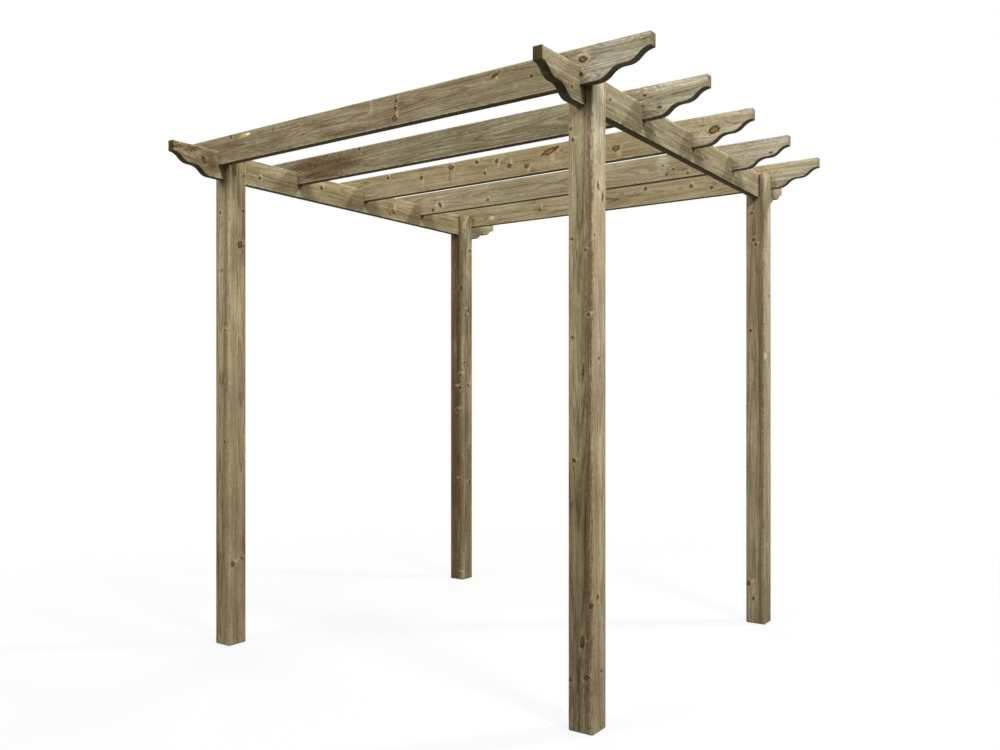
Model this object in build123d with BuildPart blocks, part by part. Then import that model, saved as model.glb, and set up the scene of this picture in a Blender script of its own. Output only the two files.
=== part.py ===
"""Garden pergola of planed softwood, 2.4 m long: an open frame of eleven timbers.

Four square posts are forked at the top. Two beams stand on edge in the forks, and five rafters are
notched half way over the beams. Beams and rafters are cut from one section, with double-ogee ends.
X runs along the rafters, Y along the beams and Z up. The origin is on the floor, midway between the posts.
"""

import os

from build123d import *

# Posts: square, planed, with the four long edges rounded
post_width = 95.0
post_height = 2215.0
post_arris_radius = 7.0
post_spacing_x = 1850.0
post_spacing_y = 1735.0

# Beams and rafters: one planed section, and how far each reaches past the outer faces of the posts
timber_depth = 120.0
timber_thickness = 36.0
timber_arris_radius = 2.5
beam_overhang = 267.5
rafter_overhang = 227.5

# Ogee ends: a square end, then two S-shaped waves with a level step between them
end_height = 45.0
wave_run = 90.0
step_run = 15.0

# Joints: the rafter's notch over the beam, and the play at the sides of notch and fork
notch_depth = 60.0
notch_clearance = 0.5
fork_clearance = 0.5
rafter_post_clearance = 0.5

# Every cut runs this far past the face where it starts
cut_overrun = 20.0

# Heights and places that follow from the sizes above
beam_top = post_height
rafter_top = beam_top + timber_depth - notch_depth
beam_length = post_spacing_y + post_width + 2 * beam_overhang
rafter_length = post_spacing_x + post_width + 2 * rafter_overhang
outer_rafter_y = (post_spacing_y + post_width + timber_thickness) / 2 + rafter_post_clearance
wave_drop = (timber_depth - end_height) / 2

post_places_x = {"left": -post_spacing_x / 2, "right": post_spacing_x / 2}
post_places_y = {"front": -post_spacing_y / 2, "back": post_spacing_y / 2}
rafter_names = ["front_rafter", "second_rafter", "middle_rafter", "fourth_rafter", "back_rafter"]


def forked_post(x, y):
    """A post standing at x, y, with a fork cut down its top that holds a beam on edge."""
    with BuildPart() as post:
        with BuildSketch(Plane.XY) as section:
            with Locations((x, y)):
                RectangleRounded(post_width, post_width, post_arris_radius)
        extrude(amount=post_height)

        with BuildSketch(Plane.XZ.offset(-y)) as fork:
            with Locations((x, post_height - timber_depth)):
                Rectangle(
                    timber_thickness + 2 * fork_clearance,
                    timber_depth + cut_overrun,
                    align=(Align.CENTER, Align.MIN),
                )
        extrude(amount=post_width / 2 + cut_overrun, both=True, mode=Mode.SUBTRACT)
    return post


def ogee_wave(start):
    """An S of two equal arcs, level at both ends, that runs inwards and down from start to its lower end."""
    middle = start - Vector(wave_run, wave_drop) / 2
    finish = start - Vector(wave_run, wave_drop)
    upper_arc = TangentArc(start, middle, tangent=(-1, 0))
    TangentArc(middle, finish, tangent=upper_arc % 1)
    return finish


def planed_timber(section_plane, side_plane, length, top):
    """A bar of the planed section on edge, its ends then sawn to the double ogee seen from the side."""
    with BuildPart() as timber:
        with BuildSketch(section_plane) as section:
            with Locations((0, top)):
                RectangleRounded(
                    timber_thickness,
                    timber_depth,
                    timber_arris_radius,
                    align=(Align.CENTER, Align.MAX),
                )
        extrude(amount=length / 2, both=True)

        with BuildSketch(side_plane) as waste:
            with BuildLine() as outline:
                end_corner = Vector(length / 2, top - end_height)
                upper_finish = ogee_wave(end_corner)
                step = Line(upper_finish, upper_finish - Vector(step_run, 0))
                lower_finish = ogee_wave(step @ 1)
                Polyline(
                    lower_finish,
                    lower_finish - Vector(0, cut_overrun),
                    (length / 2 + cut_overrun, top - timber_depth - cut_overrun),
                    (length / 2 + cut_overrun, top - end_height),
                    end_corner,
                )
            make_face()
            mirror(about=Plane.YZ)
        extrude(amount=timber_thickness / 2 + cut_overrun, both=True, mode=Mode.SUBTRACT)
    return timber


def beam(x):
    """A beam along Y, on edge in the forks of the two posts at x."""
    return planed_timber(Plane.XZ.shift_origin((x, 0, 0)), Plane.YZ.offset(x), beam_length, beam_top)


def rafter(y):
    """A rafter along X at y, notched from below where it sits on each beam."""
    side_plane = Plane.XZ.offset(-y)
    bar = planed_timber(Plane.YZ.shift_origin((0, y, 0)), side_plane, rafter_length, rafter_top)
    with BuildPart() as timber:
        add(bar.part)
        with BuildSketch(side_plane) as notches:
            with Locations([(x, rafter_top - timber_depth + notch_depth) for x in post_places_x.values()]):
                Rectangle(
                    timber_thickness + 2 * notch_clearance,
                    notch_depth + cut_overrun,
                    align=(Align.CENTER, Align.MAX),
                )
        extrude(amount=timber_thickness / 2 + cut_overrun, both=True, mode=Mode.SUBTRACT)
    return timber


def write(piece, node):
    """Label a finished piece and write it as its own file."""
    piece.part.label = node
    export_step(piece.part, f"parts/{node}.step")


os.makedirs("parts", exist_ok=True)

for end, y in post_places_y.items():
    for side, x in post_places_x.items():
        write(forked_post(x, y), f"{end}_{side}_post")

for side, x in post_places_x.items():
    write(beam(x), f"{side}_beam")

rafter_spacing = 2 * outer_rafter_y / (len(rafter_names) - 1)
for number, name in enumerate(rafter_names):
    write(rafter(number * rafter_spacing - outer_rafter_y), name)
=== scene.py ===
"""Garden pergola of pressure-treated softwood: four forked posts, two beams on edge in the forks, five
rafters notched over the beams, and the screws in the forks. Metres, in the CAD part's frame."""

from math import atan2, pi, radians

import bmesh
import bpy
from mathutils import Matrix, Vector


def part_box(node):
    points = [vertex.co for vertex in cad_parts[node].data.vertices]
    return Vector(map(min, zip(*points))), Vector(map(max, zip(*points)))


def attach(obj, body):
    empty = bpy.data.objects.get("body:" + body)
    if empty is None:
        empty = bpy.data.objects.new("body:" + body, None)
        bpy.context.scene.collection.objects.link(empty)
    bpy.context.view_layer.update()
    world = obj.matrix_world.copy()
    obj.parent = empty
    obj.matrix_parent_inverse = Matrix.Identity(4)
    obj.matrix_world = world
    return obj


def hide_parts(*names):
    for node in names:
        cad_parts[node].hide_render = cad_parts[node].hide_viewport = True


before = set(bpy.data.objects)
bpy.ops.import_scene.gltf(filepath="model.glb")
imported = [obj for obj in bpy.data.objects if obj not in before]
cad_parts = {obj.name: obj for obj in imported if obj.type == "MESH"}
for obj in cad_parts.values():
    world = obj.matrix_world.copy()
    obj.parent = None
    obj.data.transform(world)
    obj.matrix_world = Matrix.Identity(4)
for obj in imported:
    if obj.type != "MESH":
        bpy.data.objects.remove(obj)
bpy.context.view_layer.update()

# Posts
# Four square posts of planed, pressure-treated softwood, each sawn from the heart of a log. The planer rounds
# the long edges, the feet are sawn square, and the fork sawn down the top holds a beam on edge, tight to its
# inner prong.

post_low, post_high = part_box("front_left_post")
beam_low, beam_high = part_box("left_beam")
post_width = post_high.x - post_low.x
post_height = post_high.z
timber_thickness = beam_high.x - beam_low.x
timber_depth = beam_high.z - beam_low.z
post_arris = 0.007
sawn_arris = 0.0012
foot_arris = 0.005
inner_play = 0.0005
outer_play = 0.0035
screw_offset = 0.035
screw_drops = (0.032, 0.092)
pocket_radius = 0.0070
pocket_depth = 0.0022
pocket_overrun = 0.0001

# Edges are picked by their place to within close, and sharp edges by the angle between their faces
close = 0.0001
sharp_angle = radians(40)
smooth_angle = radians(30)
merge_distance = 0.00001


def select_edges(piece, chosen):
    """Open a piece in edit mode with only those edges selected for which chosen(edge) is true."""
    bpy.context.view_layer.objects.active = piece
    bpy.ops.object.mode_set(mode="EDIT")
    bpy.ops.mesh.select_mode(type="EDGE")
    bpy.ops.mesh.select_all(action="DESELECT")
    mesh = bmesh.from_edit_mesh(piece.data)
    for edge in mesh.edges:
        if chosen(edge):
            edge.select_set(True)
    bmesh.update_edit_mesh(piece.data)


def cut_away(piece, tool):
    """Cut the shape of a tool out of a piece and remove the tool."""
    bpy.context.view_layer.objects.active = piece
    bpy.ops.object.modifier_add(type="BOOLEAN")
    cut = piece.modifiers[-1]
    cut.operation = "DIFFERENCE"
    cut.solver = "EXACT"
    cut.object = tool
    bpy.ops.object.modifier_apply(modifier=cut.name)
    bpy.data.objects.remove(tool)


def close_mesh(piece):
    """Merge the doubles in a piece's mesh and turn its faces outwards."""
    bpy.context.view_layer.objects.active = piece
    bpy.ops.object.mode_set(mode="EDIT")
    bpy.ops.mesh.select_all(action="SELECT")
    bpy.ops.mesh.remove_doubles(threshold=merge_distance)
    bpy.ops.mesh.normals_make_consistent(inside=False)
    bpy.ops.object.mode_set(mode="OBJECT")


def copy_of(piece, name, place, turn=(0, 0, 0), sides=(1, 1, 1)):
    """Copy a piece with a mesh of its own, which takes up the place, the turn and any mirroring of sides."""
    bpy.ops.object.select_all(action="DESELECT")
    piece.select_set(True)
    bpy.context.view_layer.objects.active = piece
    bpy.ops.object.duplicate(linked=False)
    copy = bpy.context.object
    copy.name = name
    copy.location = place
    copy.rotation_euler = turn
    copy.scale = sides
    bpy.ops.object.transform_apply(location=True, rotation=True, scale=True)
    close_mesh(copy)
    bpy.ops.object.shade_smooth_by_angle(angle=smooth_angle)
    return copy


def linear(colour):
    """An sRGB colour written as hex, in linear light."""
    shares = [int(colour[i : i + 2], 16) / 255 for i in (1, 3, 5)]
    return tuple(c / 12.92 if c <= 0.04045 else ((c + 0.055) / 1.055) ** 2.4 for c in shares) + (1.0,)


def add_node(tree, kind, feeds=None, out=0, **settings):
    """Add a node with its settings, feed its sockets with values or other nodes' outputs, and give an output.

    Sockets go by name or number. A mix of colours has them in sockets 6 and 7, and its result is output 2.
    """
    node = tree.nodes.new(kind)
    for name, value in settings.items():
        setattr(node, name, value)
    for socket, value in (feeds or {}).items():
        if isinstance(value, bpy.types.NodeSocket):
            tree.links.new(value, node.inputs[socket])
        else:
            node.inputs[socket].default_value = value
    return node.outputs[out]


def grown_log(tree, local, along, drawn, half, pith, lean, knots):
    """Draw the log that a timber is cut from, as four distances and a place.

    They are the distance from the pith, the same bent round the knots, which is the wood's age, the distance
    from the side of the nearest knot, that from the nearest pale patch, and the place with ragged noise.
    """

    # The pith leans and wanders by some millimetres along the log, and the rings are slightly uneven
    noise_mean = (0.5, 0.5, 0.5)
    pith_place = (pith[0] / 1000, pith[1] / 1000, 0)
    against_lean = (-lean[0], -lean[1], 0)
    stem = add_node(tree, "ShaderNodeVectorMath", {0: local, 1: pith_place}, operation="SUBTRACT")
    stem = add_node(
        tree, "ShaderNodeVectorMath", {0: along, 1: against_lean, 2: stem}, operation="MULTIPLY_ADD"
    )
    for wide, long, swing in ((1000, 700, 22), (45, 500, 9)):
        scale = (1000 / wide, 1000 / wide, 1000 / long)
        sway = (swing / 1000, swing / 1000, 0)
        uneven = add_node(tree, "ShaderNodeVectorMath", {0: drawn, 1: scale}, operation="MULTIPLY")
        uneven = add_node(
            tree, "ShaderNodeTexNoise", {"Vector": uneven, "Scale": 1, "Detail": 2}, out="Color"
        )
        uneven = add_node(tree, "ShaderNodeVectorMath", {0: uneven, 1: noise_mean}, operation="SUBTRACT")
        stem = add_node(
            tree, "ShaderNodeVectorMath", {0: uneven, 1: sway, 2: stem}, operation="MULTIPLY_ADD"
        )
    stem = add_node(tree, "ShaderNodeVectorMath", {0: stem, 1: (1, 1, 0)}, operation="MULTIPLY")
    stem = add_node(tree, "ShaderNodeVectorMath", {0: stem}, out="Value", operation="LENGTH")

    # Knots have ragged outlines, drawn out along the grain by stretch
    rag_size = 0.009
    rag_swing = 1.6 * rag_size
    stretch = 0.8
    ragged = add_node(tree, "ShaderNodeVectorMath", {0: drawn, 1: (1 / rag_size,) * 3}, operation="MULTIPLY")
    ragged = add_node(tree, "ShaderNodeTexNoise", {"Vector": ragged, "Scale": 1, "Detail": 2}, out="Color")
    ragged = add_node(tree, "ShaderNodeVectorMath", {0: ragged, 1: noise_mean}, operation="SUBTRACT")
    ragged = add_node(
        tree, "ShaderNodeVectorMath", {0: ragged, 1: (rag_swing,) * 3, 2: local}, operation="MULTIPLY_ADD"
    )
    ragged = add_node(tree, "ShaderNodeVectorMath", {0: ragged, 1: (1, 1, stretch)}, operation="MULTIPLY")

    # Each knot is a branch, a cone from the pith through its place on a face. Some drift sideways or upwards.
    # A branch's wood ages from its middle outwards and, by the taper, along it. Behind the pith is none.
    # Pale patches are placed and sized by the knot's radius.
    taper = 0.35
    behind_pith = -40.0
    usual_drift = (0.0, 0.25)
    patch_offset = 1.7
    patch_shape = Vector((0.4, 0.4, 1.1))
    branch = rim = tail = 10.0
    for number, knot in enumerate(knots):
        knot_across, knot_deep, knot_along, radius, sideways, upwards = knot + usual_drift[len(knot) - 4 :]
        outwards = Vector((knot_across - pith[0], knot_deep - pith[1], 0)) / 1000
        reach = outwards.length
        outwards = outwards / reach
        direction = outwards + sideways * Vector((-outwards.y, outwards.x, 0)) + Vector((0, 0, upwards))
        start = Vector((knot_across, knot_deep, knot_along * stretch)) / 1000 - direction * reach
        slant = direction.length
        direction = direction / slant
        slope = radius / 1000 / (reach * (1 - taper))
        away = add_node(tree, "ShaderNodeVectorMath", {0: ragged, 1: start}, operation="SUBTRACT")
        grown = add_node(
            tree, "ShaderNodeVectorMath", {0: away, 1: direction}, out="Value", operation="DOT_PRODUCT"
        )
        beside = add_node(tree, "ShaderNodeVectorMath", {0: away, 1: direction}, operation="CROSS_PRODUCT")
        beside = add_node(tree, "ShaderNodeVectorMath", {0: beside}, out="Value", operation="LENGTH")
        forward = add_node(tree, "ShaderNodeMath", {0: grown, 1: taper / slant}, operation="MULTIPLY")
        behind = add_node(tree, "ShaderNodeMath", {0: grown, 1: behind_pith}, operation="MULTIPLY")
        grown = add_node(tree, "ShaderNodeMath", {0: forward, 1: behind}, operation="MAXIMUM")
        grown = add_node(
            tree, "ShaderNodeMath", {0: beside, 1: 1 / slope, 2: grown}, operation="MULTIPLY_ADD"
        )
        side = add_node(tree, "ShaderNodeMath", {0: grown, 1: stem}, operation="SUBTRACT")
        side = add_node(tree, "ShaderNodeMath", {0: side, 1: slope}, operation="MULTIPLY")
        rim = add_node(tree, "ShaderNodeMath", {0: side, 1: rim}, operation="MINIMUM")
        branch = add_node(tree, "ShaderNodeMath", {0: grown, 1: branch}, operation="MINIMUM")

        # Beside every other knot, and any that drifts, the grain turns out of the face in a short pale patch
        if number % 2 and not sideways:
            continue
        patch_middle = Vector((knot_across, knot_deep, knot_along * stretch + radius))
        on_side = abs(knot_across) / half[0] > abs(knot_deep) / half[1]
        patch_middle[1 if on_side else 0] += patch_offset * (radius if sideways >= 0 else -radius)
        scale = 1000 / radius * patch_shape
        patch = add_node(
            tree, "ShaderNodeVectorMath", {0: ragged, 1: patch_middle / 1000}, operation="SUBTRACT"
        )
        patch = add_node(tree, "ShaderNodeVectorMath", {0: patch, 1: scale}, operation="MULTIPLY")
        patch = add_node(tree, "ShaderNodeVectorMath", {0: patch}, out="Value", operation="LENGTH")
        tail = add_node(tree, "ShaderNodeMath", {0: patch, 1: tail}, operation="MINIMUM")

    swerve = 0.09
    age = add_node(tree, "ShaderNodeMath", {0: stem, 1: branch, 2: swerve}, operation="SMOOTH_MIN")
    return stem, age, rim, tail, ragged


def treated_softwood(
    name,
    axes,
    centre,
    half,
    tone,
    pith,
    lean,
    seed,
    knots,
    stains_and_painted_light=(),
    ring=3.2,
    sap=None,
    ends=0.6,
    arris_wear_and_highlight=0.5,
):
    """Planed, pressure-treated softwood: growth rings that bend round the knots, streaks and fibres along the
    grain, stains, patches of painted light and shade, pale arrises that are partly wear and partly painted
    highlight, drying checks and specks. The axes run across, across and along the grain. Ring width and the
    places of pith, knots, stains, painted patches and sapwood are in millimetres from the timber's centre."""
    material = bpy.data.materials.new(name)
    material.use_nodes = True
    tree = material.node_tree
    tree.nodes.clear()

    # Place in the timber: across it in two directions, and along the grain. Each seed draws other noise.
    place = add_node(tree, "ShaderNodeTexCoord", out="Object")
    place = add_node(tree, "ShaderNodeVectorMath", {0: place, 1: centre}, operation="SUBTRACT")
    parts = add_node(tree, "ShaderNodeSeparateXYZ", {0: place}).node.outputs
    across, deep, along = (parts["XYZ".index(axis)] for axis in axes)
    local = add_node(tree, "ShaderNodeCombineXYZ", {0: across, 1: deep, 2: along})
    jump = (seed * 1.31, seed * 2.17, seed * 3.73)
    drawn = add_node(tree, "ShaderNodeVectorMath", {0: local, 1: jump}, operation="ADD")
    stem, age, rim, tail, ragged = grown_log(tree, local, along, drawn, half, pith, lean, knots)

    # Growth rings: pale early wood that darkens to a thin line of late wood, in years of different width
    year_run = 0.012
    year_swing = 0.008
    years = add_node(
        tree, "ShaderNodeTexNoise", {"W": age, "Scale": 1 / year_run, "Detail": 2}, noise_dimensions="1D"
    )
    late = add_node(tree, "ShaderNodeMath", {0: years, 1: year_swing, 2: age}, operation="MULTIPLY_ADD")
    late = add_node(tree, "ShaderNodeMath", {0: late, 1: 1000 / ring}, operation="MULTIPLY")
    late = add_node(tree, "ShaderNodeMath", {0: late}, operation="FRACT")
    autumn = add_node(
        tree,
        "ShaderNodeMapRange",
        {"Value": late, "From Min": 0.5, "From Max": 0.92},
        interpolation_type="SMOOTHSTEP",
    )
    winter = add_node(
        tree,
        "ShaderNodeMapRange",
        {"Value": late, "From Min": 1.0, "From Max": 0.94},
        interpolation_type="SMOOTHSTEP",
    )
    late = add_node(tree, "ShaderNodeMath", {0: autumn, 1: winter}, operation="MULTIPLY")

    # Streaks, threads and fibres drawn out along the grain and pushed aside by the knots, and cloudy mottle,
    # each so many millimetres wide and long. Fibres are finer than a pixel, so they are drawn as bundles.
    aside = (0.9, 0.9, 0)
    push = add_node(tree, "ShaderNodeMath", {0: stem, 1: age}, operation="SUBTRACT")
    flow = add_node(tree, "ShaderNodeVectorMath", {0: push, 1: aside, 2: drawn}, operation="MULTIPLY_ADD")
    patterns = {}
    for pattern, wide, long, detail in (
        ("streak", 22, 800, 4),
        ("thread", 5, 130, 3),
        ("fibre", 1.4, 24, 2),
        ("grit", 7, 16, 3),
        ("mottle", 70, 200, 4),
    ):
        scale = (1000 / wide, 1000 / wide, 1000 / long)
        spread = add_node(tree, "ShaderNodeVectorMath", {0: flow, 1: scale}, operation="MULTIPLY")
        spread = add_node(
            tree, "ShaderNodeTexNoise", {"Vector": spread, "Scale": 1, "Detail": detail}, out="Color"
        )
        patterns[pattern] = add_node(tree, "ShaderNodeSeparateColor", {0: spread}).node.outputs
    streak, thread, fibre, grit, mottle = patterns.values()

    # How light the wood is, from all of these together, and the tone that gives
    mean_lightness = 0.64
    weights = (
        (years, 0.45),
        (streak[0], 0.55),
        (mottle[0], 0.65),
        (thread[0], 0.6),
        (grit[0], 0.5),
        (fibre[0], 0.45),
    )
    lightness = mean_lightness - sum(weight for pattern, weight in weights) / 2
    for pattern, weight in weights:
        lightness = add_node(
            tree, "ShaderNodeMath", {0: pattern, 1: weight, 2: lightness}, operation="MULTIPLY_ADD"
        )
    lines = add_node(tree, "ShaderNodeMath", {0: late, 1: mottle[1]}, operation="MULTIPLY")
    lightness = add_node(tree, "ShaderNodeMath", {0: lines, 1: -0.6, 2: lightness}, operation="MULTIPLY_ADD")
    if sap:
        sap_side = (sap[0], sap[1], 0)
        sap_edge = sap[2] / 1000
        sap_blur = 0.014
        sap_waver = 0.02
        sap_gain = 0.08
        outer = add_node(
            tree, "ShaderNodeVectorMath", {0: local, 1: sap_side}, out="Value", operation="DOT_PRODUCT"
        )
        outer = add_node(
            tree, "ShaderNodeMath", {0: streak[1], 1: sap_waver, 2: outer}, operation="MULTIPLY_ADD"
        )
        paler = add_node(
            tree,
            "ShaderNodeMapRange",
            {"Value": outer, "From Min": sap_edge, "From Max": sap_edge + sap_blur, "To Max": sap_gain},
            interpolation_type="SMOOTHSTEP",
        )
        lightness = add_node(tree, "ShaderNodeMath", {0: lightness, 1: paler}, operation="ADD")
    colour = add_node(tree, "ShaderNodeValToRGB", {0: lightness})
    clear, dark, pale = (Vector(linear(each)) for each in (tone, "#3A2E1C", "#EAE3CE"))
    shades = (clear.lerp(dark, 0.8), clear.lerp(dark, 0.32), clear, clear.lerp(pale, 0.45))
    stops = colour.node.color_ramp.elements
    for at in (0.33, 0.6):
        stops.new(at)
    for stop, shade in zip(stops, shades):
        stop.color = shade

    # Stains, and patches of painted light and shade: soft patches at a place, each as large as its half
    # sizes, with wavering edges
    edge_swing = 1.6
    waver = Vector((-edge_swing,) * 3)
    for shape in ((mottle[1], mottle[2], streak[2]), (grit[0], grit[1], grit[2])):
        shape = add_node(tree, "ShaderNodeCombineXYZ", {0: shape[0], 1: shape[1], 2: shape[2]})
        waver = add_node(
            tree, "ShaderNodeVectorMath", {0: shape, 1: (edge_swing,) * 3, 2: waver}, operation="MULTIPLY_ADD"
        )
    for middle, size, tint, strength in stains_and_painted_light:
        middle = Vector(middle) / 1000
        scale = [1000 / each for each in size]
        share = add_node(tree, "ShaderNodeVectorMath", {0: local, 1: middle}, operation="SUBTRACT")
        share = add_node(
            tree, "ShaderNodeVectorMath", {0: share, 1: scale, 2: waver}, operation="MULTIPLY_ADD"
        )
        share = add_node(tree, "ShaderNodeVectorMath", {0: share}, out="Value", operation="LENGTH")
        share = add_node(
            tree,
            "ShaderNodeMapRange",
            {"Value": share, "From Min": 1.15, "From Max": 0.5, "To Max": strength},
            interpolation_type="SMOOTHSTEP",
        )
        shift = [stained / plain for stained, plain in zip(linear(tint), clear)]
        colour = add_node(
            tree,
            "ShaderNodeMix",
            {0: share, 6: colour, 7: shift},
            out=2,
            data_type="RGBA",
            blend_type="MULTIPLY",
        )

    # Drying checks: short thin cracks along the grain, in some patches only
    check = add_node(tree, "ShaderNodeMath", {0: thread[1], 1: 0.5}, operation="SUBTRACT")
    check = add_node(tree, "ShaderNodeMath", {0: check}, operation="ABSOLUTE")
    dry = add_node(
        tree, "ShaderNodeMapRange", {"Value": mottle[2], "From Min": 0.5, "From Max": 0.68, "To Max": 0.035}
    )
    check = add_node(tree, "ShaderNodeMath", {0: check, 1: dry}, operation="LESS_THAN")

    # Specks: resin and pin knots up to five millimetres across
    speck_spacing = 0.022
    largest_share = 0.12
    specks = add_node(
        tree, "ShaderNodeVectorMath", {0: ragged, 1: (1 / speck_spacing,) * 3}, operation="MULTIPLY"
    )
    specks = add_node(tree, "ShaderNodeTexVoronoi", {"Vector": specks, "Scale": 1}).node.outputs
    largest = add_node(tree, "ShaderNodeSeparateColor", {0: specks["Color"]})
    largest = add_node(tree, "ShaderNodeMath", {0: largest, 1: largest_share}, operation="MULTIPLY")
    speck = add_node(tree, "ShaderNodeMath", {0: specks["Distance"], 1: largest}, operation="LESS_THAN")

    # The arrises are paler in places: partly rubbed wear and partly a painted highlight of light catching the
    # rounded edges
    arris_band_width = 0.007
    wear_and_highlight = grit[0]
    for offset, side in zip((across, deep), half):
        offset = add_node(tree, "ShaderNodeMath", {0: offset}, operation="ABSOLUTE")
        offset = add_node(
            tree, "ShaderNodeMapRange", {"Value": offset, "From Min": side - arris_band_width, "From Max": side}
        )
        wear_and_highlight = add_node(tree, "ShaderNodeMath", {0: offset, 1: wear_and_highlight}, operation="MINIMUM")

    # Olive from the treatment in some streaks and rust brown in others, then checks, specks and knots: a
    # cream halo and a brown flush on parts of the wood round a knot, its dark bark, and a brown heart in the
    # larger ones
    halo = add_node(tree, "ShaderNodeMath", {0: thread[2], 1: 0.05, 2: rim}, operation="MULTIPLY_ADD")
    flush = add_node(tree, "ShaderNodeMath", {0: grit[1], 1: 0.024, 2: rim}, operation="MULTIPLY_ADD")
    bark = add_node(tree, "ShaderNodeMath", {0: grit[2], 1: 0.012, 2: rim}, operation="MULTIPLY_ADD")
    for pattern, first, full, most, tint, blend in (
        (streak[1], 0.44, 0.62, 0.35, "#84805C", "COLOR"),
        (streak[2], 0.50, 0.66, 0.35, "#987E5A", "COLOR"),
        # pale arrises: partly wear, partly a painted highlight along the edges
        (wear_and_highlight, 0.30, 0.60, arris_wear_and_highlight, "#D2C6A4", "MIX"),
        (check, 0.0, 1.0, 0.55, "#4E402B", "MIX"),
        (speck, 0.0, 1.0, 0.7, "#4E3F2A", "MIX"),
        (halo, 0.036, 0.022, 0.35, "#CBBD96", "MIX"),
        (tail, 1.25, 0.5, 0.5, "#D4C7A5", "MIX"),
        (flush, 0.018, 0.010, 0.6, "#8F7047", "MIX"),
        (bark, 0.0078, 0.0050, 0.9, "#4A3720", "MIX"),
        (rim, -0.0036, -0.0066, 0.8, "#A27C54", "MIX"),
    ):
        share = add_node(
            tree,
            "ShaderNodeMapRange",
            {"Value": pattern, "From Min": first, "From Max": full, "To Max": most},
            interpolation_type="SMOOTHSTEP",
        )
        colour = add_node(
            tree,
            "ShaderNodeMix",
            {0: share, 6: colour, 7: linear(tint)},
            out=2,
            data_type="RGBA",
            blend_type=blend,
        )

    # Sawn ends drink in more of the treatment and are darker
    facing = add_node(tree, "ShaderNodeNewGeometry", out="True Normal")
    facing = add_node(tree, "ShaderNodeSeparateXYZ", {0: facing}).node.outputs["XYZ".index(axes[2])]
    facing = add_node(tree, "ShaderNodeMath", {0: facing}, operation="ABSOLUTE")
    sawn = add_node(
        tree,
        "ShaderNodeMapRange",
        {"Value": facing, "From Min": 0.3, "From Max": 0.95, "To Max": ends},
        interpolation_type="SMOOTHSTEP",
    )
    colour = add_node(
        tree,
        "ShaderNodeMix",
        {0: sawn, 6: colour, 7: linear("#80785F")},
        out=2,
        data_type="RGBA",
        blend_type="MULTIPLY",
    )

    # The planed face is dull, with the late wood and the fibres standing slightly proud and the checks sunk
    height = add_node(tree, "ShaderNodeMath", {0: late, 1: 0.4, 2: fibre[0]}, operation="MULTIPLY_ADD")
    height = add_node(tree, "ShaderNodeMath", {0: check, 1: -0.6, 2: height}, operation="MULTIPLY_ADD")
    bump = add_node(tree, "ShaderNodeBump", {"Height": height, "Strength": 0.35, "Distance": 0.0006})
    surface = add_node(
        tree,
        "ShaderNodeBsdfPrincipled",
        {"Base Color": colour, "Roughness": 0.78, "Specular IOR Level": 0.1, "Normal": bump},
    )
    tree.links.new(surface, tree.nodes.new("ShaderNodeOutputMaterial").inputs["Surface"])
    return material


bpy.ops.object.select_all(action="DESELECT")
bpy.ops.mesh.primitive_cube_add(
    size=1, location=(0, 0, post_height / 2), scale=(post_width, post_width, post_height)
)
post = bpy.context.object
bpy.ops.object.transform_apply(location=True, rotation=True, scale=True)
select_edges(post, lambda edge: abs(edge.verts[0].co.z - edge.verts[1].co.z) > post_height / 2)
bpy.ops.mesh.bevel(offset=post_arris, segments=5, affect="EDGES")
bpy.ops.object.mode_set(mode="OBJECT")

bpy.ops.mesh.primitive_cube_add(
    size=1,
    location=((inner_play - outer_play) / 2, 0, post_height),
    scale=(timber_thickness + inner_play + outer_play, post_width * 2, timber_depth * 2),
)
fork = bpy.context.object
bpy.ops.object.transform_apply(location=True, rotation=True, scale=True)
cut_away(post, fork)

select_edges(post, lambda edge: all(end.co.z < close for end in edge.verts))
bpy.ops.mesh.bevel(offset=foot_arris, segments=4, affect="EDGES")
bpy.ops.object.mode_set(mode="OBJECT")

select_edges(post, lambda edge: edge.calc_face_angle(0) > sharp_angle)
bpy.ops.mesh.bevel(offset=sawn_arris, segments=2, affect="EDGES")
bpy.ops.object.mode_set(mode="OBJECT")

for drop in screw_drops:
    bpy.ops.mesh.primitive_cone_add(
        vertices=24,
        radius1=pocket_radius / 2,
        radius2=pocket_radius,
        depth=pocket_depth,
        location=(post_width / 2 - pocket_depth / 2 + pocket_overrun, screw_offset, post_height - drop),
        rotation=(0, pi / 2, 0),
    )
    cut_away(post, bpy.context.object)
close_mesh(post)
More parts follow.
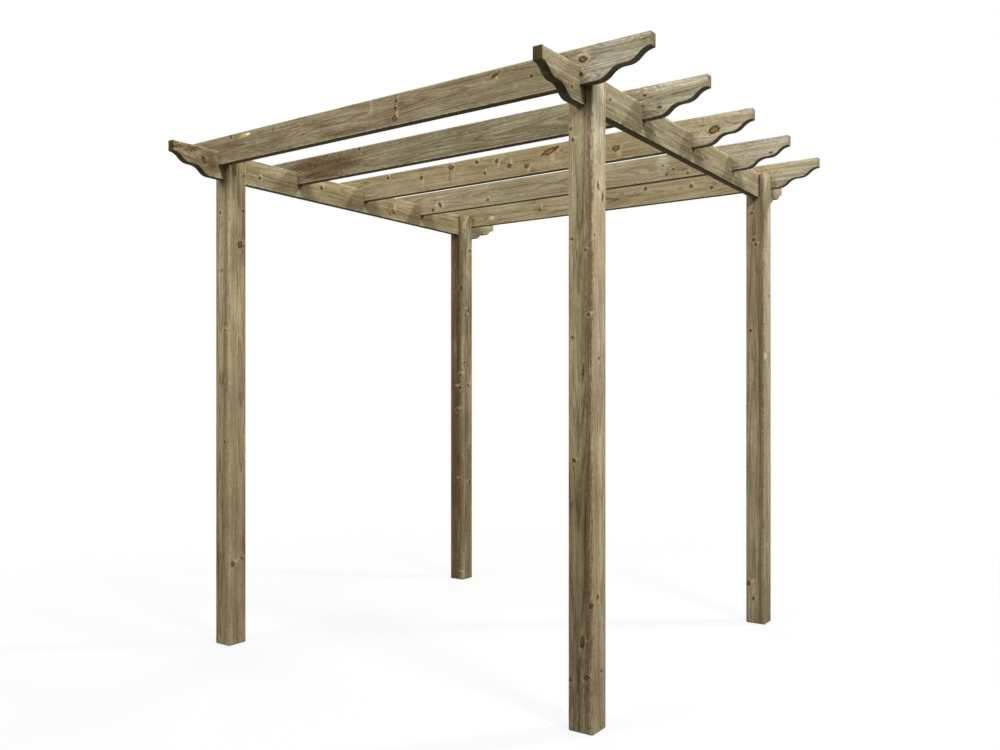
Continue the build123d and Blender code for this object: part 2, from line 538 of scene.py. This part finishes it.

# A knot is its place, its radius and, where it isn't straight, how far it drifts sideways and upwards. A
# stain, like a patch of painted light and shade, is its middle, its half sizes, its colour on the plain wood
# and its strength.
post_wood = {
    "front_left_post": dict(
        tone="#AA9772",
        pith=(-10, 14),
        lean=(0.004, -0.006),
        seed=1.0,
        knots=[
            (47, 12, 701, 11, 0.4, 0.6),
            (47, -26, -740, 8, 0.5, 0.5),
            (47, 23, -722, 5),
            (47, 33, 856, 4.5),
            (-13, -47, 843, 5),
            (-2, -47, 582, 5),
            (19, -47, 311, 4),
            (15, -47, -192, 5),
            (-42, -47, -1083, 6),
        ],
        stains_and_painted_light=[
            ((20, -47, 0), (16, 30, 3000), "#957F5B", 0.5),
            ((-36, -47, 0), (12, 40, 3000), "#8C8260", 0.5),
            ((47, 25, -200), (30, 14, 900), "#A48B62", 0.7),
            # Painted shadow: the front rafter's shade, dark at the top of the post's right side
            ((47, -24, 1050), (30, 24, 60), "#736349", 1.0),
        ],
    ),
    "front_right_post": dict(
        tone="#A3926E",
        pith=(-6, 4),
        lean=(0.006, -0.016),
        seed=2.0,
        sap=(1, 0, 46),
        knots=[
            (-28, -47, 880, 5),
            (-37, -47, 918, 5),
            (18, -47, 505, 4.5),
            (-32, -47, 546, 4),
            (31, -47, 290, 5),
            (-28, -47, 215, 4),
            (-24, -47, -198, 5),
            (11, -47, 97, 4, 0.0, 4.0),
            (9, -47, -800, 5, 0.0, 2.5),
            (40, -47, -678, 5),
            (24, -47, -918, 5),
            (-37, -47, -935, 4),
            (47, -10, 725, 6, 0.0, 1.5),
            (47, 21, 690, 6, 0.0, 1.5),
            (47, -32, 554, 4),
            (47, -5, 146, 5),
            (47, -12, -652, 5),
            (47, 14, -906, 4),
        ],
        stains_and_painted_light=[
            ((-2, -50, -150), (24, 45, 1300), "#938B65", 0.85),
            ((-7, -50, -680), (15, 45, 540), "#8C7A58", 0.9),
            ((15, -50, -250), (14, 45, 1300), "#73644A", 0.5),
            ((32, -50, 0), (16, 30, 3000), "#8F7555", 0.7),
            ((34, -50, 480), (12, 9, 900), "#7E674A", 0.6),
            # Painted light: a pale patch at the top of the post's right side, lifting the front rafter's
            # shade there
            ((47, 8, 930), (30, 60, 270), "#B6A88B", 0.95),
            ((28, -50, -620), (16, 30, 640), "#84704F", 0.8),
            ((-40, -47, -800), (16, 40, 420), "#957A5B", 0.6),
        ],
    ),
    "back_left_post": dict(
        tone="#8A7553",
        pith=(8, -12),
        lean=(-0.006, 0.005),
        seed=3.0,
        sap=(1, 0, 46),
        knots=[
            (47, 24, 895, 8),
            (47, 5, 532, 8, -0.3),
            (47, -20, 500, 7),
            (47, -31, 213, 7, -0.3),
            (47, 3, 74, 8),
            (47, -22, 66, 7),
            (47, 16, -520, 8, -0.3),
            (30, -47, 663, 7),
            (25, -47, 137, 9),
            (25, -47, 61, 9, -0.3),
            (6, -47, -78, 9),
            (25, -47, -498, 7, -0.3),
            (25, -47, -1068, 8),
        ],
        stains_and_painted_light=[
            ((-32, -50, 0), (30, 50, 3000), "#745C40", 0.8),
            ((2, -50, 0), (16, 40, 3000), "#745C40", 0.8),
            ((36, -50, 0), (14, 20, 3000), "#A08C66", 0.7),
            ((14, -47, 120), (16, 30, 480), "#85592F", 0.8),
            ((20, -47, -560), (14, 30, 360), "#805831", 0.7),
            ((47, 0, 990), (30, 60, 120), "#B09F77", 0.8),
        ],
    ),
    "back_right_post": dict(
        tone="#A39271",
        pith=(-8, 12),
        lean=(0.005, 0.006),
        seed=4.0,
        sap=(1, 0, 46),
        knots=[
            (-18, -47, 915, 5),
            (-9, -47, 783, 6),
            (1, -47, 758, 5),
            (-24, -47, 335, 5),
            (-44, -47, -35, 5),
            (-34, -47, -910, 9, 0.5, 0.8),
            (-9, -47, -984, 6, 0.8, 0.8),
            (47, 7, 506, 5),
            (47, -30, 336, 4),
        ],
        stains_and_painted_light=[
            ((28, -50, 0), (14, 40, 3000), "#7D6B4C", 0.7),
            ((47, -40, 208), (12, 12, 18), "#E4DABC", 0.9),
            ((47, -15, -720), (12, 9, 14), "#DCD2B4", 0.8),
        ],
    ),
}

for name, wood in post_wood.items():
    low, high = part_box(name)
    centre = (low + high) / 2
    sides = (1 if centre.x < 0 else -1, 1 if centre.y < 0 else -1, 1)
    piece = copy_of(post, name + "_timber", (centre.x, centre.y, 0), sides=sides)
    piece.data.materials.append(
        treated_softwood(
            name + " treated softwood",
            "XYZ",
            centre,
            (post_width / 2, post_width / 2),
            ring=4.6,
            # posts: faint pale arrises, partly wear and partly painted highlight
            arris_wear_and_highlight=0.15,
            **wood,
        )
    )
    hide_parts(name)
    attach(piece, "root")
bpy.data.objects.remove(post)

# Beams
# Two planks of planed, pressure-treated softwood on edge in the forks of the posts, running front to back.
# Each end is bandsawn to a double ogee: a square end, then two S-shaped waves with a level step between them.

end_height = 0.045
wave_run = 0.090
step_run = 0.015
arris = 0.0022
wave_drop = (timber_depth - end_height) / 2
arc_angle = 2 * atan2(wave_drop, wave_run)
arc_radius = (wave_run**2 + wave_drop**2) / (4 * wave_drop)
arc_steps = 8


def ogee_timber(length, notches=(), notch_width=0.0, notch_depth=0.0):
    """Model a plank on edge along X with ogee ends, its top at zero height and notches at places along its
    lower edge: half its outline is drawn, filled, mirrored and pulled to the thickness, and arrises eased."""
    bpy.ops.object.select_all(action="DESELECT")
    bpy.ops.mesh.primitive_plane_add(size=1)
    timber = bpy.context.object
    bpy.ops.object.mode_set(mode="EDIT")
    bpy.ops.mesh.select_mode(type="VERT")
    bpy.ops.mesh.select_all(action="SELECT")
    bpy.ops.mesh.merge(type="CENTER")
    bpy.ops.transform.translate(value=(0, -timber_thickness / 2, 0))
    corner = Vector((length / 2, -timber_thickness / 2, -end_height))
    bpy.ops.mesh.extrude_vertices_move(TRANSFORM_OT_translate={"value": (length / 2, 0, 0)})
    bpy.ops.mesh.extrude_vertices_move(TRANSFORM_OT_translate={"value": (0, 0, -end_height)})
    for wave in range(2):
        finish = corner - Vector((wave_run, 0, wave_drop))
        bpy.ops.mesh.spin(
            steps=arc_steps, angle=arc_angle, center=corner - Vector((0, 0, arc_radius)), axis=(0, 1, 0)
        )
        bpy.ops.mesh.spin(
            steps=arc_steps, angle=-arc_angle, center=finish + Vector((0, 0, arc_radius)), axis=(0, 1, 0)
        )
        corner = finish - Vector((step_run, 0, 0))
        if wave == 0:
            bpy.ops.mesh.extrude_vertices_move(TRANSFORM_OT_translate={"value": (-step_run, 0, 0)})
    reached = finish.x
    for place in notches:
        bpy.ops.mesh.extrude_vertices_move(
            TRANSFORM_OT_translate={"value": (place + notch_width / 2 - reached, 0, 0)}
        )
        bpy.ops.mesh.extrude_vertices_move(TRANSFORM_OT_translate={"value": (0, 0, notch_depth)})
        bpy.ops.mesh.extrude_vertices_move(TRANSFORM_OT_translate={"value": (-notch_width, 0, 0)})
        bpy.ops.mesh.extrude_vertices_move(TRANSFORM_OT_translate={"value": (0, 0, -notch_depth)})
        reached = place - notch_width / 2
    bpy.ops.mesh.extrude_vertices_move(TRANSFORM_OT_translate={"value": (-reached, 0, 0)})
    bpy.ops.mesh.select_all(action="SELECT")
    bpy.ops.mesh.edge_face_add()
    bpy.ops.object.mode_set(mode="OBJECT")
    bpy.ops.object.modifier_add(type="MIRROR")
    bpy.ops.object.modifier_apply(modifier=timber.modifiers[-1].name)

    bpy.ops.object.mode_set(mode="EDIT")
    bpy.ops.mesh.select_all(action="SELECT")
    bpy.ops.mesh.remove_doubles(threshold=merge_distance)
    bpy.ops.mesh.extrude_region_move(TRANSFORM_OT_translate={"value": (0, timber_thickness, 0)})
    bpy.ops.mesh.select_all(action="SELECT")
    bpy.ops.mesh.dissolve_limited(angle_limit=radians(0.5))
    bpy.ops.mesh.normals_make_consistent(inside=False)
    bpy.ops.object.mode_set(mode="OBJECT")

    def eased(edge):
        """Arrises along the plank's sides and round its square ends, but not those of a notch."""
        ends = [end.co for end in edge.verts]
        sharp = edge.calc_face_angle(0) > sharp_angle
        one_side = abs(ends[0].y - ends[1].y) < close
        square_end = ends[0].z > -end_height - close
        at_notch = any(
            abs(abs(end.x) - place) < notch_width / 2 + close and end.z < notch_depth - timber_depth + close
            for place in notches
            for end in ends
        )
        beside_notch = abs(abs(ends[0].x) - abs(ends[1].x)) > timber_depth
        return sharp and (one_side or square_end) and (beside_notch or not at_notch)

    select_edges(timber, eased)
    bpy.ops.mesh.bevel(offset=arris, segments=3, affect="EDGES")
    bpy.ops.object.mode_set(mode="OBJECT")
    close_mesh(timber)
    return timber


beam = ogee_timber(beam_high.y - beam_low.y)

beam_wood = {
    "left_beam": dict(
        tone="#9C8C68",
        pith=(-70, 25),
        lean=(0.010, 0.012),
        seed=5.0,
        knots=[
            (18, -14, -716, 6),
            (18, 13, -321, 8, 0.5),
            (18, -18, 221, 11, 0.4, 0.8),
            (18, -35, 193, 6),
            (18, 37, -1159, 6, 0.5, 2.5),
            (18, 5, -1027, 7, -1.0, 0.6),
        ],
        stains_and_painted_light=[
            ((18, -18, 215), (30, 30, 60), "#8A6A46", 0.8),
            ((18, 46, -1125), (30, 18, 110), "#6A4F32", 1.0),
            ((18, 0, -985), (30, 40, 36), "#7C6040", 0.8),
        ],
    ),
    "right_beam": dict(
        tone="#978A69",
        pith=(-60, -20),
        lean=(-0.008, 0.010),
        seed=6.0,
        knots=[(18, -32, -364, 5), (18, 6, -737, 4.5), (18, -21, -998, 5)],
    ),
}

for name, wood in beam_wood.items():
    low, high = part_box(name)
    centre = (low + high) / 2
    piece = copy_of(beam, name + "_timber", (centre.x, centre.y, high.z), turn=(0, 0, pi / 2))
    piece.data.materials.append(
        treated_softwood(
            name + " treated softwood",
            "XZY",
            centre,
            (timber_thickness / 2, timber_depth / 2),
            ends=0.95,
            # beams: strongly pale arrises, partly wear and partly a painted highlight along the edges
            arris_wear_and_highlight=0.9,
            **wood,
        )
    )
    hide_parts(name)
    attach(piece, "root")
bpy.data.objects.remove(beam)

# Screws
# Two countersunk wood screws of dulled zinc-plated steel through the inner prong of each fork hold the beam.
# Their heads are driven just below the face of the post, and each has a cross recess.

head_radius = 0.0055
head_depth = 0.0034
head_sunk = 0.0010
head_arris = 0.0003
recess_length = 0.0060
recess_width = 0.0013
recess_depth = 0.0016
screw_turns = (0.4, 1.15)

bpy.ops.object.select_all(action="DESELECT")
bpy.ops.mesh.primitive_cone_add(
    vertices=32,
    radius1=head_radius / 2,
    radius2=head_radius,
    depth=head_depth,
    location=(0, 0, -head_depth / 2),
)
screw = bpy.context.object
bpy.ops.object.transform_apply(location=True, rotation=True, scale=True)
select_edges(screw, lambda edge: all(end.co.z > -close for end in edge.verts))
bpy.ops.mesh.bevel(offset=head_arris, segments=2, affect="EDGES")
bpy.ops.object.mode_set(mode="OBJECT")
for size in ((recess_length, recess_width), (recess_width, recess_length)):
    bpy.ops.mesh.primitive_cube_add(size=1, scale=(*size, recess_depth * 2))
    recess = bpy.context.object
    bpy.ops.object.transform_apply(location=True, rotation=True, scale=True)
    cut_away(screw, recess)
close_mesh(screw)
bpy.ops.object.mode_set(mode="EDIT")
bpy.ops.mesh.select_all(action="SELECT")
bpy.ops.mesh.dissolve_limited(angle_limit=radians(1))
bpy.ops.mesh.quads_convert_to_tris(quad_method="BEAUTY", ngon_method="BEAUTY")
bpy.ops.object.mode_set(mode="OBJECT")

# Dulled zinc plating: dark grey metal, blotched where the plating has turned to brown oxide
blotch_size = 0.002
steel = bpy.data.materials.new("dulled zinc-plated steel")
steel.use_nodes = True
tree = steel.node_tree
tree.nodes.clear()
place = add_node(tree, "ShaderNodeTexCoord", out="Object")
blotch = add_node(tree, "ShaderNodeTexNoise", {"Vector": place, "Scale": 1 / blotch_size, "Detail": 3})
colour = add_node(
    tree, "ShaderNodeMix", {0: blotch, 6: linear("#5A544A"), 7: linear("#3A2C20")}, out=2, data_type="RGBA"
)
rough = add_node(tree, "ShaderNodeMapRange", {"Value": blotch, "To Min": 0.35, "To Max": 0.7})
surface = add_node(
    tree, "ShaderNodeBsdfPrincipled", {"Base Color": colour, "Metallic": 1.0, "Roughness": rough}
)
tree.links.new(surface, tree.nodes.new("ShaderNodeOutputMaterial").inputs["Surface"])

for name in post_wood:
    low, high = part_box(name)
    centre = (low + high) / 2
    inwards = 1 if centre.x < 0 else -1
    to_middle = 1 if centre.y < 0 else -1
    for drop, turn, height in zip(screw_drops, screw_turns, ("upper", "lower")):
        place = (
            centre.x + inwards * (post_width / 2 - head_sunk),
            centre.y + to_middle * screw_offset,
            post_height - drop,
        )
        piece = copy_of(screw, name.replace("post", height + "_screw"), place, (turn, inwards * pi / 2, 0))
        piece.data.materials.append(steel)
        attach(piece, "root")
bpy.data.objects.remove(screw)

# Rafters
# Five planks of the same section and ends as the beams, laid on edge across them from left to right. Each is
# notched half way up from below so that it drops over both beams; the outer two lie against the posts.

rafter_low, rafter_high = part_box("front_rafter")
right_low, right_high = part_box("right_beam")
notch_play = 0.0005
rafter = ogee_timber(
    rafter_high.x - rafter_low.x,
    notches=[(right_low.x + right_high.x) / 2],
    notch_width=timber_thickness + 2 * notch_play,
    notch_depth=beam_high.z - rafter_low.z,
)

rafter_wood = {
    "front_rafter": dict(
        tone="#978869",
        pith=(55, 10),
        lean=(0.012, 0.015),
        seed=7.0,
        knots=[
            (-18, 38, 603, 5, -0.6, 1.8),
            (-18, 4, 756, 3.5),
            (-18, -34, 135, 9),
            (-18, 4, 140, 3.5, 1.5, 0.8),
            (-18, 32, 143, 4, 1.2, -0.5),
            (-18, 19, 956, 8, 0.3, 0.9),
            (-18, -28, 948, 5),
            (-18, 50, -820, 5),
        ],
        stains_and_painted_light=[
            ((-18, -39, -120), (30, 16, 190), "#7E6246", 0.8),
            # Painted light: the right end, outside the right beam, paler as where the light falls on it
            ((-18, 0, 1090), (30, 80, 190), "#C6BEA8", 0.9),
            ((-18, 10, -900), (30, 22, 170), "#80674A", 0.7),
            ((-18, 44, -730), (30, 11, 44), "#D2C28F", 0.7),
            ((-18, 46, -706), (30, 8, 14), "#E4D6A4", 0.7),
            ((-18, 30, 15), (30, 36, 9), "#BDB18C", 0.6),
            ((-18, 40, -546), (30, 20, 6), "#6E5B40", 0.7),
            ((-18, 6, 138), (30, 56, 9), "#75603F", 0.8),
            ((-18, -30, 130), (30, 22, 28), "#85633F", 0.8),
        ],
    ),
    "second_rafter": dict(
        tone="#8F8466",
        pith=(60, -15),
        lean=(-0.010, 0.020),
        seed=8.0,
        knots=[(-18, 27, 955, 7, 0.4, 0.8), (-18, -27, 1014, 6), (-18, 50, -491, 5)],
        stains_and_painted_light=[
            ((-18, -8, -770), (30, 70, 330), "#6C5236", 0.95),
            # Painted light: the right end, outside the right beam, paler as where the light falls on it
            ((-18, 5, 1120), (60, 100, 230), "#C0B99F", 1.0),
        ],
    ),
    "middle_rafter": dict(
        tone="#AB9872",
        pith=(50, 20),
        lean=(0.010, -0.012),
        seed=9.0,
        knots=[
            (-18, 38, -159, 8, 0.8, 0.4),
            (-18, 26, -42, 8, -0.5),
            (-18, -6, 30, 9),
            (-18, -21, 128, 9, -0.4),
            (-18, -21, -111, 5),
            (-18, 28, 252, 13, -0.6, 2.0),
            (-18, 38, 292, 6, -0.6, 1.0),
            (-18, 36, -318, 11, 0.6, 0.8),
            (-18, 10, -507, 8, -0.8),
            (-18, 39, -733, 8, 0.6),
            (-18, -3, 1043, 12, -0.7, 1.0),
            (-18, -9, 594, 11, -0.5, 0.8),
        ],
        stains_and_painted_light=[
            ((-18, 28, 250), (30, 22, 60), "#A67C50", 0.9),
            ((-18, 30, -316), (30, 18, 20), "#96704A", 0.9),
            ((-18, -4, -324), (30, 34, 9), "#8A7150", 0.8),
            # Painted light: the right end, outside the right beam, paler as where the light falls on it
            ((-18, 5, 1120), (60, 100, 230), "#CABA9B", 1.0),
        ],
    ),
    "fourth_rafter": dict(
        tone="#A79977",
        pith=(65, 5),
        lean=(-0.012, -0.010),
        seed=10.0,
        knots=[
            (-18, -19, -759, 6, 0.8, 0.5),
            (-18, -42, -810, 6),
            (-18, -31, -426, 6),
            (-18, -36, 622, 6),
            (-18, -44, 730, 6),
            (-18, -16, 656, 6),
            (-18, -7, 1123, 6),
            (-18, 9, 603, 4, 0.8, 0.5),
        ],
        stains_and_painted_light=[
            # Painted light: the right end, outside the right beam, paler as where the light falls on it
            ((-18, 5, 1120), (60, 100, 230), "#C5BDA5", 1.0),
            ((-18, 12, 600), (30, 44, 40), "#C4BCA2", 0.8),
            ((-18, -14, -755), (30, 44, 50), "#C2B48F", 0.8),
        ],
    ),
    "back_rafter": dict(
        tone="#A89873",
        pith=(58, -10),
        lean=(0.014, 0.010),
        seed=11.0,
        knots=[
            (-18, -13, -386, 9),
            (-18, 23, 288, 7),
            (-18, 5, 549, 7),
            (-18, -17, 661, 6),
            (-18, 10, 760, 5),
        ],
        stains_and_painted_light=[
            # Painted light: the right end, outside the right beam, paler as where the light falls on it
            ((-18, 5, 1120), (60, 100, 230), "#C3BA9A", 1.0),
            ((-18, -20, -729), (30, 16, 18), "#D8CDA9", 0.8),
            ((-18, -13, -386), (30, 26, 44), "#7E6C4A", 0.7),
        ],
    ),
}

for name, wood in rafter_wood.items():
    low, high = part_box(name)
    centre = (low + high) / 2
    piece = copy_of(rafter, name + "_timber", (centre.x, centre.y, high.z))
    piece.data.materials.append(
        treated_softwood(
            name + " treated softwood", "YZX", centre, (timber_thickness / 2, timber_depth / 2), **wood
        )
    )
    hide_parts(name)
    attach(piece, "root")
bpy.data.objects.remove(rafter)

# Stage
# A white floor that keeps a faint shadow, under an even sky with five lights: upper right behind, upper right
# and upper left in front, and fill lights behind and on the left.

floor_size = 60
floor_drop = 0.0005
fade_start = 1.5
fade_end = 4.0
least_white = 0.8
sky_strength = 0.40


def seen_directly(tree):
    """One where the camera sees a surface, also in gloss or through glass, and zero where it only lights."""
    path = add_node(tree, "ShaderNodeLightPath").node.outputs
    seen = add_node(
        tree, "ShaderNodeMath", {0: path["Is Camera Ray"], 1: path["Is Glossy Ray"]}, operation="MAXIMUM"
    )
    return add_node(tree, "ShaderNodeMath", {0: seen, 1: path["Is Transmission Ray"]}, operation="MAXIMUM")


def soft_light(name, place, aim, size, power):
    """A square studio light of that size, at a place and aimed at a point."""
    bpy.ops.object.light_add(type="AREA", location=place)
    light = bpy.context.object
    light.name = name
    light.rotation_euler = (Vector(aim) - Vector(place)).to_track_quat("-Z", "Y").to_euler()
    light.data.size = size
    light.data.energy = power


bpy.ops.mesh.primitive_plane_add(size=floor_size, location=(0, 0, -floor_drop))
floor = bpy.context.object
floor.name = "floor"
paint = bpy.data.materials.new("white floor")
paint.use_nodes = True
tree = paint.node_tree
tree.nodes.clear()
bounce = add_node(tree, "ShaderNodeBsdfDiffuse", {"Color": linear("#38352F")})
shade = add_node(tree, "ShaderNodeBsdfDiffuse", {"Color": linear("#DADADA")})
white = add_node(tree, "ShaderNodeEmission", {"Color": linear("#FFFFFF"), "Strength": 1.0})
away = add_node(tree, "ShaderNodeTexCoord", out="Object")
away = add_node(tree, "ShaderNodeVectorMath", {0: away}, out="Value", operation="LENGTH")
away = add_node(
    tree,
    "ShaderNodeMapRange",
    {"Value": away, "From Min": fade_start, "From Max": fade_end, "To Min": least_white},
    interpolation_type="SMOOTHSTEP",
)
shown = add_node(tree, "ShaderNodeMixShader", {0: away, 1: shade, 2: white})
mixed = add_node(tree, "ShaderNodeMixShader", {0: seen_directly(tree), 1: bounce, 2: shown})
tree.links.new(mixed, tree.nodes.new("ShaderNodeOutputMaterial").inputs["Surface"])
floor.data.materials.append(paint)

world = bpy.data.worlds.new("studio")
bpy.context.scene.world = world
world.use_nodes = True
tree = world.node_tree
tree.nodes.clear()
strength = add_node(
    tree, "ShaderNodeMapRange", {"Value": seen_directly(tree), "To Min": sky_strength, "To Max": 1.0}
)
sky = add_node(tree, "ShaderNodeBackground", {"Color": linear("#FFFFFF"), "Strength": strength})
tree.links.new(sky, tree.nodes.new("ShaderNodeOutputWorld").inputs["Surface"])

soft_light("right back light", (3.9, 3.2, 6.2), (0.3, 0, 1.6), 0.5, 260)
soft_light("right front light", (6.4, -2.8, 6.8), (0, 0, 1.4), 1.5, 420)
soft_light("back fill light", (-4.5, 7.0, 4.5), (0, 0, 1.4), 4.0, 260)
soft_light("left fill light", (-7.5, 2.2, 4.0), (0, 0, 1.4), 4.0, 180)
soft_light("left front light", (-2.0, -6.5, 6.0), (0, 0, 1.4), 4.0, 280)

# Camera
# Set level at the photo's angle and distance, with a small upward shift instead of a tilt, so that the posts
# stay upright in the picture.

camera_place = (2.42049, -3.54159, 1.14184)
camera_turn = radians(34.74)

bpy.ops.object.camera_add(location=camera_place, rotation=(pi / 2, 0, camera_turn))
camera = bpy.context.object
camera.data.sensor_width = 36
camera.data.lens = 32.446
camera.data.shift_y = 0.01655
camera.data.clip_end = 200
bpy.context.scene.camera = camera
bpy.context.scene.view_settings.view_transform = "Standard"
